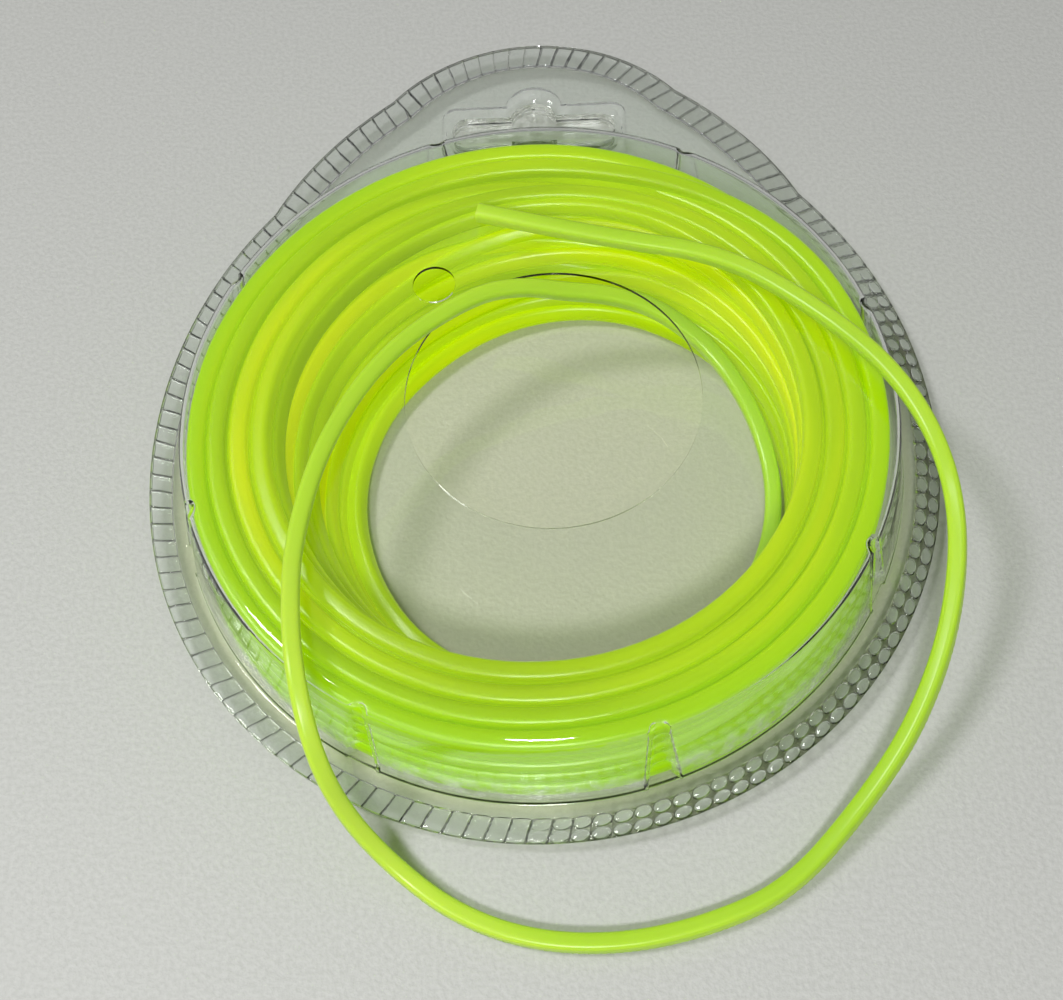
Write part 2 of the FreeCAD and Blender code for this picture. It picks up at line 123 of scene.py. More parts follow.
def line_tube(name, centres, rolls, section, teeth=None):
    """The line as a mesh: its section carried along its middle, turned by rolls and closed at both
    ends. Teeth are shares of the section's reach, one for each point of each ring."""
    # Two directions across the line at each ring, of which one is level until it is rolled.
    heading = np.gradient(centres, axis=0)
    heading /= np.linalg.norm(heading, axis=1)[:, None]
    side = np.cross(heading, (0, 0, 1))
    side /= np.linalg.norm(side, axis=1)[:, None]
    rise = np.cross(side, heading)
    turn = np.stack([np.cos(rolls), np.sin(rolls)], axis=1)
    across = turn[:, :1] * side + turn[:, 1:] * rise
    upward = turn[:, :1] * rise - turn[:, 1:] * side
    rings, around = len(centres), len(section)
    reach = np.ones((rings, around)) if teeth is None else teeth
    points = (centres[:, None] + across[:, None] * (section[:, 0] * reach)[..., None]
              + upward[:, None] * (section[:, 1] * reach)[..., None])
    # Faces between neighbouring rings, and a cap at each end.
    here = np.arange(rings - 1)[:, None] * around
    column = np.arange(around)[None]
    beside = (column + 1) % around
    quads = np.stack([here + column, here + beside,
                      here + around + beside, here + around + column], axis=-1)
    faces = quads.reshape(-1, 4).tolist()
    faces.append(list(range(around))[::-1])
    faces.append(list(range((rings - 1) * around, rings * around)))
    mesh = bpy.data.meshes.new(name)
    mesh.from_pydata(points.reshape(-1, 3).tolist(), [], faces)
    # A map of the surface: how far along the line a point is, and its place round it.
    gone = np.concatenate([[0], np.cumsum(np.linalg.norm(np.diff(centres, axis=0), axis=1))])
    along = np.broadcast_to(gone[:-1, None], (rings - 1, around))
    further = np.broadcast_to(gone[1:, None], (rings - 1, around))
    place = np.broadcast_to(column / around, (rings - 1, around))
    next_place = place + 1 / around
    corners = np.stack([np.stack([along, place], -1), np.stack([along, next_place], -1),
                        np.stack([further, next_place], -1), np.stack([further, place], -1)], axis=2)
    coordinates = np.zeros((len(mesh.loops), 2))
    coordinates[:corners.size // 2] = corners.reshape(-1, 2)
    coordinates[corners.size // 2:, 0] = gone[-1]
    mesh.uv_layers.new(name="along_line").data.foreach_set("uv", coordinates.ravel())
    mesh.flip_normals()
    mesh.shade_smooth()
    mesh.set_sharp_from_angle(angle=math.radians(60))
    return placed(name, mesh)


def new_node(material, kind, **settings):
    """A new node of a material, with its settings and sockets given by name."""
    node = material.node_tree.nodes.new(kind)
    for key, value in settings.items():
        if hasattr(node, key):
            setattr(node, key, value)
        else:
            node.inputs[key.replace("_", " ")].default_value = value
    return node


def distance_from_axis(material):
    """How far a point of the surface is from the dome's axis."""
    links = material.node_tree.links
    place = new_node(material, "ShaderNodeTexCoord")
    flat = new_node(material, "ShaderNodeVectorMath", operation="MULTIPLY")
    flat.inputs[1].default_value = (1, 1, 0)
    links.new(place.outputs["Object"], flat.inputs[0])
    length = new_node(material, "ShaderNodeVectorMath", operation="LENGTH")
    links.new(flat.outputs["Vector"], length.inputs[0])
    return length.outputs["Value"]


def but_for_rays(material, kind, usual, instead):
    """The usual shader for all rays but one kind, which meets another shader instead."""
    links = material.node_tree.links
    path = new_node(material, "ShaderNodeLightPath")
    mixed = new_node(material, "ShaderNodeMixShader")
    links.new(path.outputs[kind], mixed.inputs["Fac"])
    links.new(usual.outputs[0], mixed.inputs[1])
    links.new(instead.outputs[0], mixed.inputs[2])
    return mixed


def line_material(name, dark, middle, bright, painted_glow, shine, painted_wall_tint=None):
    """Fluorescent yellow-green nylon: a painted glow stands in for its fluorescence and lightens the
    shade between turns, faint streaks are drawn along it, and lamps shine through it a little. The
    outermost turns may be painted greener, a painted tint that stands in for the clear wall in front of
    them."""
    material = bpy.data.materials.new(name)
    material.use_nodes = True
    nodes, links = material.node_tree.nodes, material.node_tree.links
    shader = nodes["Principled BSDF"]
    shader.inputs["Roughness"].default_value = 0.3
    shader.inputs["IOR"].default_value = 1.5
    shader.inputs["Specular IOR Level"].default_value = shine
    shader.inputs["Subsurface Weight"].default_value = 0.5
    shader.inputs["Subsurface Radius"].default_value = (0.8, 1.0, 0.1)
    shader.inputs["Subsurface Scale"].default_value = 1.6 * MM
    # Painted glow: the emission stands in for the fluorescence and lightens the shade between the
    # turns.
    shader.inputs["Emission Strength"].default_value = painted_glow
    # Broad streaks for its colour, and then fine ones for its surface.
    place = new_node(material, "ShaderNodeUVMap", uv_map="along_line")
    tint = None
    for per_metre, per_round in ((9.0, 0.8), (110.0, 7.0)):
        stretch = new_node(material, "ShaderNodeMapping")
        stretch.inputs["Scale"].default_value = (per_metre, per_round, 1)
        links.new(place.outputs["UV"], stretch.inputs["Vector"])
        streaks = new_node(material, "ShaderNodeTexNoise", Scale=1.0, Detail=3.0, Roughness=0.55)
        links.new(stretch.outputs["Vector"], streaks.inputs["Vector"])
        if tint is None:
            tint = new_node(material, "ShaderNodeValToRGB")
            ramp = tint.color_ramp
            ramp.elements[0].position, ramp.elements[0].color = 0.33, (*dark, 1)
            ramp.elements[1].position, ramp.elements[1].color = 0.68, (*bright, 1)
            centre = ramp.elements.new(0.5)
            centre.color = (*middle, 1)
            links.new(streaks.outputs["Fac"], tint.inputs["Fac"])
    colour = tint.outputs["Color"]
    # Painted tint: the outer turns are painted greener, standing in for the clear wall in front of
    # them.
    if painted_wall_tint is not None:
        outside = new_node(material, "ShaderNodeMapRange")
        outside.inputs["From Min"].default_value = 41 * MM
        outside.inputs["From Max"].default_value = 49 * MM
        links.new(distance_from_axis(material), outside.inputs["Value"])
        wall_tinted_colour = new_node(material, "ShaderNodeMix", data_type="RGBA")
        links.new(outside.outputs["Result"], wall_tinted_colour.inputs["Factor"])
        links.new(colour, wall_tinted_colour.inputs["A"])
        wall_tinted_colour.inputs["B"].default_value = (*painted_wall_tint, 1)
        colour = wall_tinted_colour.outputs["Result"]
    links.new(colour, shader.inputs["Base Color"])
    links.new(colour, shader.inputs["Emission Color"])
    bump = new_node(material, "ShaderNodeBump", Strength=0.12, Distance=0.1 * MM)
    links.new(streaks.outputs["Fac"], bump.inputs["Height"])
    links.new(bump.outputs["Normal"], shader.inputs["Normal"])
    passing = new_node(material, "ShaderNodeBsdfTransparent")
    passing.inputs["Color"].default_value = (0.28, 0.37, 0.015, 1)
    to_lamps = but_for_rays(material, "Is Shadow Ray", shader, passing)
    links.new(to_lamps.outputs["Shader"], nodes["Material Output"].inputs["Surface"])
    return material


# The free end gets a weak painted glow, the packed coil a strong one that lightens the shade between
# its turns.
loose_nylon = line_material("fluorescent_nylon_alone", (0.27, 0.46, 0.02), (0.34, 0.53, 0.03),
                            (0.45, 0.60, 0.06), 0.2, 0.3)
ring_step = 0.33 * MM
free_middle, free_along = evenly(spline_points("free_line", free_route), ring_step)
# Shares of its length, and how many degrees its flats are turned there.
free_twist = [(0, 0), (0.2, 12), (0.3, 25), (0.36, 8), (0.55, 4), (0.7, 25), (0.85, 12), (1, 8)]
free_rolls = np.radians(np.interp(free_along / free_along[-1], *zip(*free_twist)))
# One corner of the section has faint teeth.
tooth_length, tooth_depth, toothed_corner = 1.0 * MM, 0.035, 17.5
free_teeth = np.ones((len(free_middle), section_points))
at_corner = np.abs(np.arange(section_points) - toothed_corner) < 1
free_wave = 0.5 + 0.5 * np.sin(free_along / tooth_length * 2 * math.pi)
free_teeth[:, at_corner] -= tooth_depth * free_wave[:, None]
free_end = line_tube("line_end", free_middle, free_rolls, line_section(), free_teeth)
free_end.data.materials.append(loose_nylon)
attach(free_end, "coil")
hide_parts("line_free_end")

# Coil: the same line, wound in four columns of six turns. It starts at the foot of the outer side, goes
# up and down the columns, and ends at the foot of the bore, where the free end goes on. Its bore leans,
# as its turns have slipped towards the viewer, so on the far left more of them come to its surface.
line_half = line_diameter / 2
columns, rows = 4, 6
low_level, top_level = 2.0 * MM, 14.8 * MM
side_at_foot, side_at_top = 47.1 * MM, 45.7 * MM
slipped, pushed_left = 1.2 * MM, 0.7 * MM
# How far a column lies from its neighbour: in the outer columns, at the bore, where the bore leans
# most, and where the line leaves.
column_step, bore_step, leaning_step, leaving_step = 2.65 * MM, 2.7 * MM, 2.6 * MM, 2.35 * MM
bulges = [1.3 * MM, 1.4 * MM, 0.9 * MM, 0.4 * MM, 0, 0]
bore_top = 35.6 * MM + line_half
bore_foot, bore_foot_middle = 30.75 * MM + line_half, (3.45 * MM, -6.45 * MM)
leaving = np.array(free_route[0])
last_angle = math.atan2(leaving[1], leaving[0])
widest = math.atan2(-bore_foot_middle[1], -bore_foot_middle[0])
slots = []
for column in range(columns):
    climb = range(rows) if column % 2 == 0 else range(rows)[::-1]
    slots += [(column, row) for row in climb]
turns = len(slots)
rings_per_turn = 96
turned = np.arange(turns * rings_per_turn + 1) / rings_per_turn
angle = last_angle + turned * 2 * math.pi
draw = np.random.default_rng(7)


def eased(value):
    """The value kept between 0 and 1, with a soft start and a soft end."""
    value = np.clip(value, 0, 1)
    return value * value * (3 - 2 * value)


spread_out = eased(0.5 + 0.5 * np.cos(angle - widest))


def slow_noise(reach, per_turn):
    """Small smooth wandering along the whole winding, the same on each run."""
    count = int(turns * per_turn) + 4
    knots = draw.uniform(-1, 1, count)
    place = np.linspace(0, count - 3.001, len(turned))
    first = place.astype(int)
    part = eased(place - first)
    return reach * (knots[first] * (1 - part) + knots[first + 1] * part)


def bore_reach(share, angle):
    """Distance from the axis to the turns at the bore, at a share of the coil's height."""
    along = bore_foot_middle[0] * np.cos(angle) + bore_foot_middle[1] * np.sin(angle)
    aside = bore_foot_middle[0] * np.sin(angle) - bore_foot_middle[1] * np.cos(angle)
    foot = along + np.sqrt(bore_foot ** 2 - aside ** 2)
    return foot + share * (bore_top - foot)


bore_tilt = np.arctan2(bore_top - bore_reach(0, angle), top_level - low_level)
# The slots that come to the bore's surface where it leans most, from its foot up.
slope_slots = [(3, 0), (3, 1), (2, 1), (3, 2), (3, 3), (2, 3), (3, 4), (3, 5)]


def slot_place(column, row):
    """Distance from the axis, height and roll of one slot, all the way round."""
    share = row / (rows - 1)
    if (column, row) in slope_slots:
        slope_share = slope_slots.index((column, row)) / (len(slope_slots) - 1)
        share = share * (1 - spread_out) + slope_share * spread_out
        behind = leaning_step * (1 - spread_out) if column == 2 else 0
        roll = -bore_tilt * (0.5 if row == rows - 1 else 1)
        return bore_reach(share, angle) + behind, low_level + share * (top_level - low_level), roll
    level = np.full(len(angle), low_level + share * (top_level - low_level))
    to_viewer = np.clip(-1.4 * np.sin(angle), 0, 1)
    side = side_at_foot + share * (side_at_top - side_at_foot) + bulges[row] * to_viewer
    if row == rows - 1:
        return side + (bore_top - side) * column / (columns - 1), level, 0 * angle
    if column == columns:
        return bore_reach(share, angle) - leaving_step, level, -bore_tilt
    if column == 2:
        return bore_reach(share, angle) + bore_step, level, -bore_tilt
    return np.full(len(angle), side - column_step * column), level, 0 * angle


# Each turn goes over to its next slot at about the same side of the coil, over so many degrees.
crossing_width = [60, 80, 110, 90]
radius, height, rolls = np.zeros(len(angle)), np.zeros(len(angle)), np.zeros(len(angle))
stops = slots + [(columns, 0)]
for turn in range(turns):
    pick = (turned >= turn) & (turned <= turn + 1)
    (column, row), (next_column, next_row) = stops[turn], stops[turn + 1]
    crossing_angle = math.radians(55 + 12 * column + 9 * math.sin(5 * turn))
    crossing = (crossing_angle - last_angle) / (2 * math.pi) + turn
    moved = eased((turned - crossing) * 360 / crossing_width[column] + 0.5)
    for here, there, whole in zip(slot_place(column, row), slot_place(next_column, next_row),
                                  (radius, height, rolls)):
        whole[pick] = (here * (1 - moved) + there * moved)[pick]
# The turns wander a little, most on top, and lie true again where the free end goes on.
fading = np.clip((turns - turned) * 3, 0, 1)
on_top = np.clip((height - 12.8 * MM) / (2.5 * MM), 0, 1)
radius += slow_noise(0.12 * MM, 5) * fading
up_the_coil = np.clip((height - low_level) / (top_level - low_level), 0, 1)
radius -= slipped * np.sin(angle) * up_the_coil
radius += pushed_left * np.clip(-np.cos(angle), 0, 1) * up_the_coil
height += (slow_noise(0.06 * MM, 6) + (0.12 * MM + slow_noise(0.2 * MM, 4)) * on_top) * fading
ending = eased(1 - (turns - turned) * 9)
radius = radius * (1 - ending) + math.hypot(leaving[0], leaving[1]) * ending
coil_middle = np.stack([radius * np.cos(angle), radius * np.sin(angle), height], axis=1)
coil_middle[-1] = leaving
coil_rolls = (rolls + np.radians(slow_noise(6, 3))) * (1 - ending)
pressed_wider = 1.08
coil = line_tube("line_coil", coil_middle, coil_rolls, line_section() * pressed_wider)
# The last colour is the painted tint of the outer turns, which stands in for the clear wall in front of
# them.
packed_nylon = line_material("fluorescent_nylon_packed", (0.155, 0.245, 0.0), (0.22, 0.33, 0.0),
                             (0.31, 0.38, 0.0), 1.0, 0.25, (0.17, 0.325, 0.0))
coil.data.materials.append(packed_nylon)
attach(coil, "coil")
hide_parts("line_outer_turns", "line_inner_turns")

# Inner turns: the layers of line under those that show. They are packed so closely that only a glint of
# them is seen between the turns over them, so they are one ring just under the coil's surface.
core_count = 360
core_at = np.arange(core_count) * 2 * math.pi / core_count
core_low, core_high, core_in = low_level + 0.2 * MM, top_level - 0.35 * MM, 0.5 * MM
core_steps = [0, 0.33, 0.67, 1]
core_rings = []
for up in core_steps:
    level = core_low + up * (core_high - core_low)
    core_rings.append((side_at_foot + up * (side_at_top - side_at_foot) - core_in, level))
for inward in core_steps[1:-1]:
    across_top = inward * (bore_top - side_at_top + 2 * core_in)
    core_rings.append((side_at_top - core_in + across_top, core_high))
for up in core_steps[::-1]:
    level = core_low + up * (core_high - core_low)
    core_rings.append((bore_reach(up, core_at) + core_in, level))
core_points = []
for reach, level in core_rings:
    reach = reach - slipped * np.sin(core_at) * (level - low_level) / (top_level - low_level)
    core_points.append(np.column_stack([reach * np.cos(core_at), reach * np.sin(core_at),
                                        np.full(core_count, level)]))
core_faces = []
for ring in range(len(core_rings)):
    here, there = ring * core_count, (ring + 1) % len(core_rings) * core_count
    for index in range(core_count):
        beside = (index + 1) % core_count
        core_faces.append([here + index, here + beside, there + beside, there + index])
core_mesh = bpy.data.meshes.new("line_inner_layers")
core_mesh.from_pydata(np.concatenate(core_points).tolist(), [], core_faces)
core_place = core_mesh.uv_layers.new(name="along_line")
for loop in core_mesh.loops:
    ring, index = divmod(loop.vertex_index, core_count)
    core_place.data[loop.index].uv = (0.3 * index / core_count, ring / len(core_rings))
core_mesh.shade_smooth()
core_mesh.set_sharp_from_angle(angle=math.radians(40))
core = placed("line_inner_layers", core_mesh)
core_mesh.materials.append(packed_nylon)
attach(core, "coil")
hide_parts("line_core")

# Front cover: clear sheet, 0.5 mm, formed over a mould into a shallow dome with a flat face, eight
# notches in its wall, a flange with a pressed weld band, and a hang tab. The holes are punched last.
sheet = 0.5 * MM
seam, flange_top, face_top = 2.5 * MM, 3.0 * MM, 17.7 * MM
face_edge, wall_foot = 48.2 * MM, 50.9 * MM
dome_height = face_top - flange_top
spokes = 1512
spoke_angle = np.arange(spokes) * 2 * math.pi / spokes
spoke_cos, spoke_sin = np.cos(spoke_angle), np.sin(spoke_angle)


def outline_points():
    """The flange's outline at each spoke: a circle that widens through two shoulders into the tab."""
    flange, shoulder, tab_top, tab_end = 56.0, 68.0, 29.6, 78.1
    tilt = math.radians(51)
    across, up = math.sin(tilt), math.cos(tilt)
    tab_middle = tab_end - tab_top
    past = tab_middle * up + tab_top - shoulder
    along = math.sqrt((shoulder - flange) ** 2 - past ** 2)
    middle = (past * across - along * up, past * up + along * across)
    corners = []
    foot = math.atan2(-middle[1], -middle[0])
    for step in np.linspace(-math.pi / 2, foot, 400):
        corners.append((flange * math.cos(step), flange * math.sin(step)))
    for step in np.linspace(foot, math.pi / 2 - tilt, 120):
        corners.append((middle[0] + shoulder * math.cos(step), middle[1] + shoulder * math.sin(step)))
    for step in np.linspace(math.pi / 2 - tilt, math.pi / 2, 200):
        corners.append((tab_top * math.cos(step), tab_middle + tab_top * math.sin(step)))
    corners = np.array(corners)
    rays = np.arctan2(corners[:, 1], corners[:, 0])
    reach = np.hypot(corners[:, 0], corners[:, 1]) * MM
    half = np.where(spoke_cos >= 0, spoke_angle, math.pi - spoke_angle)
    half = (half + math.pi / 2) % (2 * math.pi) - math.pi / 2
    return np.interp(half, rays, reach)


rim = outline_points()
rim_points = np.stack([rim * spoke_cos, rim * spoke_sin], axis=1)
rim_step = np.roll(rim_points, -1, axis=0) - rim_points
rim_gone = np.concatenate([[0], np.cumsum(np.linalg.norm(rim_step, axis=1))])
perimeter, rim_gone = rim_gone[-1], rim_gone[:-1]
rim_heading = np.roll(rim_points, -1, axis=0) - np.roll(rim_points, 1, axis=0)
rim_heading /= np.linalg.norm(rim_heading, axis=1)[:, None]
rim_inward = np.stack([-rim_heading[:, 1], rim_heading[:, 0]], axis=1)
tabness = np.clip((rim - 56.3 * MM) / (8 * MM), 0, 1)
band_width = (3.3 + 1.2 * tabness) * MM
band_steps = 14
tooth_pitch = perimeter / round(perimeter / (2.72 * MM))
tooth_lean = 0.35
notch_angles = [math.radians(17 + 45 * index) for index in range(8)]
# A notch is part of a cone: how far its middle is from the axis, and its size, at the foot and the top.
notch_reach, notch_size, notch_blend = (51.4, 48.25), (2.1, 0.65), 0.8 * MM
notch_half_angle, notch_flare = 0.2, 8


def notched(reach, height, thickness):
    """Pulls the wall in where a notch runs down it."""
    share = (height - flange_top) / dome_height
    middle = (notch_reach[0] + (notch_reach[1] - notch_reach[0]) * share) * MM
    size = (notch_size[0] + (notch_size[1] - notch_size[0]) * share) * MM + thickness
    for notch in notch_angles:
        off = (spoke_angle - notch + math.pi) % (2 * math.pi) - math.pi
        aside = reach * np.sin(off)
        deep = middle - np.sqrt(np.maximum(size ** 2 - aside ** 2, 0))
        deep = deep + notch_flare * np.maximum(np.abs(aside) - size, 0)
        apart = np.clip(0.5 + 0.5 * (deep - reach) / notch_blend, 0, 1)
        blended = deep * (1 - apart) + reach * apart - notch_blend * apart * (1 - apart)
        reach = np.where(np.abs(off) < notch_half_angle, blended, reach)
    return reach


def bent(before, corner, after, size, steps):
    """Points round one bend of a profile, each a distance from the axis and a height."""
    before, corner, after = (np.array(point, float) for point in (before, corner, after))
    inward = (corner - before) / np.linalg.norm(corner - before)
    outward = (after - corner) / np.linalg.norm(after - corner)
    turn = math.acos(float(inward @ outward))
    back = size * math.tan(turn / 2)
    start, middle_way = corner - inward * back, outward - inward
    centre = corner + middle_way / np.linalg.norm(middle_way) * size / math.cos(turn / 2)
    first = start - centre
    swept = np.linspace(0, turn, steps + 1)
    return [centre + first * math.cos(a) + inward * size * math.sin(a) for a in swept]


def in_shape(x, y, half_width, low, high, corner):
    """Distance inside a rounded box: positive inside it."""
    middle, half_height = (low + high) / 2, (high - low) / 2
    over_x = np.abs(x) - (half_width - corner)
    over_y = np.abs(y - middle) - (half_height - corner)
    outside = np.hypot(np.maximum(over_x, 0), np.maximum(over_y, 0))
    return corner - outside - np.minimum(np.maximum(over_x, over_y), 0)


def hang_ridge(x, y):
    """Height of the pressed ridge round the hang hole. Each of its two edges is a wide box and a narrow
    one, given by half their width, their foot, their top and their corners, in mm."""
    x, y = x / MM, y / MM
    outer = np.maximum(in_shape(x, y, 15, 51.8, 65.2, 2.4), in_shape(x, y, 4.9, 55, 69.0, 4.8))
    inner = np.maximum(in_shape(x, y, 13.5, 55.3, 61.7, 2.6), in_shape(x, y, 4.3, 55, 65.4, 4.2))
    ridge_height, slope_width = 0.75 * MM, 0.9
    clear_of_dome = eased((np.hypot(x, y) - 51.9) / 1.2)
    return ridge_height * eased(outer / slope_width) * eased(-inner / slope_width + 0.3) * clear_of_dome


def lower_right(angles, wider=0):
    """1 on the lower right of the rim, where the knurl has two rows of leaves, and 0 elsewhere."""
    return eased(0.5 + wider + 3 * (np.cos(angles + math.radians(30)) - 0.55))


def weld(across):
    """How deep the weld band is pressed, at a share of its width: 0 on the pillows, 1 between them."""
    place = rim_gone / tooth_pitch + tooth_lean * across
    part = place - np.floor(place)
    two_rows = lower_right(spoke_angle)
    pillow = 1 - np.abs(2 * part - 1) ** (5 - 2.4 * two_rows)
    edge = 1 - abs(2 * across - 1) ** 6
    waist_depth, waist_width = 0.7, 0.11
    waist = 1 - waist_depth * two_rows * math.exp(-((across - 0.5) / waist_width) ** 2)
    return 1 - pillow * edge * waist


def flange_rings(foot, top, pressed, ridge_share, flange_steps):
    """Rings from the wall's foot out to the rim. Each point has x, y and z, its tooth's number and its
    place across the band, from 0 to 1, or below 0 on the plain flange."""
    foot_points = np.stack([foot * spoke_cos, foot * spoke_sin], axis=1)
    band_foot = rim_points + rim_inward * band_width[:, None]
    tooth_number = rim_gone / tooth_pitch
    deeper = 0.25 + 0.75 * lower_right(spoke_angle, wider=1)
    rings = []
    for step in range(1, flange_steps + 1):
        share = step / flange_steps
        flat = foot_points * (1 - share) + band_foot * share
        level = top + ridge_share * hang_ridge(flat[:, 0], flat[:, 1])
        rings.append(np.column_stack([flat, level, tooth_number, np.full(spokes, share - 1)]))
    for step in range(1, band_steps + 1):
        share = step / band_steps
        flat = band_foot * (1 - share) + rim_points * share
        level = top - pressed * weld(share) * deeper
        rings.append(np.column_stack([flat, level, tooth_number, np.full(spokes, share)]))
    return rings


def whole_ring(reach, height):
    """A ring of one point on each spoke, all at one height."""
    return np.column_stack([reach * spoke_cos, reach * spoke_sin, np.full(spokes, height)])


def upright_rings(profile, thickness):
    """Rings round the dome and its notches, from a profile of distances from the axis and heights."""
    return [whole_ring(notched(np.full(spokes, reach), height, thickness), height)
            for reach, height in profile]


def stitched(rings, closed_at_middle):
    """Points and faces of a sheet made of rings from the outside in, where a ring may have a whole
    fraction of the points of the ring outside it."""
    starts = np.cumsum([0] + [len(ring) for ring in rings])
    faces = []
    for outer, inner, start, next_start in zip(rings, rings[1:], starts, starts[1:]):
        ratio = len(outer) // len(inner)
        for index in range(len(inner)):
            edge = [start + (index * ratio + step) % len(outer) for step in range(ratio + 1)]
            faces.append(edge + [next_start + (index + 1) % len(inner), next_start + index])
    if closed_at_middle:
        faces.append(list(range(starts[-2], starts[-1])))
    return np.concatenate(rings), faces


def face_outwards(mesh):
    """Turns a closed mesh right side out."""
    solid = bmesh.new()
    solid.from_mesh(mesh)
    bmesh.ops.recalc_face_normals(solid, faces=solid.faces)
    if solid.calc_volume(signed=True) < 0:
        bmesh.ops.reverse_faces(solid, faces=solid.faces)
    solid.to_mesh(mesh)
    solid.free()


def with_band_place(ring):
    """A ring with all five columns: one off the flange gets no tooth number and the place -1."""
    if ring.shape[1] == 5:
        return ring
    return np.column_stack([ring, np.zeros(len(ring)), np.full(len(ring), -1.0)])


def sheet_piece(name, top_rings, bottom_rings, closed):
    """A thin sheet between two surfaces with the same rings, joined along its outer edge, and along its
    inner one unless its middle is closed."""
    top_rings = [with_band_place(ring) for ring in top_rings]
    bottom_rings = [with_band_place(ring) for ring in bottom_rings]
    top, top_faces = stitched(top_rings, closed)
    bottom, bottom_faces = stitched(bottom_rings, closed)
    shift = len(top)
    faces = top_faces + [[shift + corner for corner in face][::-1] for face in bottom_faces]
    edges = [(0, len(top_rings[0]))]
    if not closed:
        edges.append((shift - len(top_rings[-1]), len(top_rings[-1])))
    for number, (start, count) in enumerate(edges):
        for index in range(count):
            here, beside = start + index, start + (index + 1) % count
            side = [here, here + shift, beside + shift, beside]
            faces.append(side if number == 0 else side[::-1])
    mesh = bpy.data.meshes.new(name)
    points = np.concatenate([top, bottom])
    mesh.from_pydata(points[:, :3].tolist(), [], faces)
    corner_of = np.zeros(len(mesh.loops), dtype=int)
    mesh.loops.foreach_get("vertex_index", corner_of)
    mesh.uv_layers.new(name="weld_band").data.foreach_set("uv", points[corner_of, 3:5].ravel())
    two_rows = lower_right(np.arctan2(points[:, 1], points[:, 0]))
    rows = np.column_stack([two_rows, 0 * two_rows])
    mesh.uv_layers.new(name="weld_rows").data.foreach_set("uv", rows[corner_of].ravel())
    face_outwards(mesh)
    return placed(name, mesh)


def punch(piece, outline, low, high):
    """Cuts a hole through a sheet, with a punch of the hole's outline that reaches from low to high."""
    count = len(outline)
    points = [(x, y, low) for x, y in outline] + [(x, y, high) for x, y in outline]
    faces = [list(range(count))[::-1], list(range(count, 2 * count))]
    faces += [[i, (i + 1) % count, count + (i + 1) % count, count + i] for i in range(count)]
    mesh = bpy.data.meshes.new("punch")
    mesh.from_pydata(points, [], faces)
    face_outwards(mesh)
    tool = placed("punch", mesh)
    hole = piece.modifiers.new("hole", "BOOLEAN")
    hole.operation, hole.solver, hole.object = "DIFFERENCE", "EXACT", tool
    cut_piece = piece.evaluated_get(bpy.context.evaluated_depsgraph_get())
    cut_mesh = bpy.data.meshes.new_from_object(cut_piece)
    piece.modifiers.remove(hole)
    bpy.data.objects.remove(tool)
    bpy.data.meshes.remove(mesh)
    face_outwards(cut_mesh)
    piece.data = cut_mesh


def hang_outline():
    """The hang hole: a slot with rounded ends and a round top in its middle."""
    slot_y, slot_half, end_x, bump_y, bump = 58.5, 2.5, 10.5, 59.8, 3.8
    meet = math.asin((slot_y + slot_half - bump_y) / bump)
    arcs = [(end_x, slot_y, slot_half, -math.pi / 2, math.pi / 2, 16),
            (0, bump_y, bump, meet, math.pi - meet, 24),
            (-end_x, slot_y, slot_half, math.pi / 2, 1.5 * math.pi, 16)]
    return [((x + size * math.cos(a)) * MM, (y + size * math.sin(a)) * MM)
            for x, y, size, start, end, count in arcs for a in np.linspace(start, end, count)]


def worked_out(material, operation, *values):
    """One sum in a material, from numbers and from other nodes' outputs."""
    node = new_node(material, "ShaderNodeMath", operation=operation)
    for socket, value in zip(node.inputs, values):
        if isinstance(value, (int, float)):
            socket.default_value = value
        else:
            material.node_tree.links.new(value, socket)
    return node.outputs["Value"]


def stepped(material, value, start, end):
    """0 before start and 1 after end, with a soft change between."""
    node = new_node(material, "ShaderNodeMapRange", interpolation_type="SMOOTHSTEP")
    material.node_tree.links.new(value, node.inputs["Value"])
    node.inputs["From Min"].default_value = start
    node.inputs["From Max"].default_value = end
    return node.outputs["Result"]


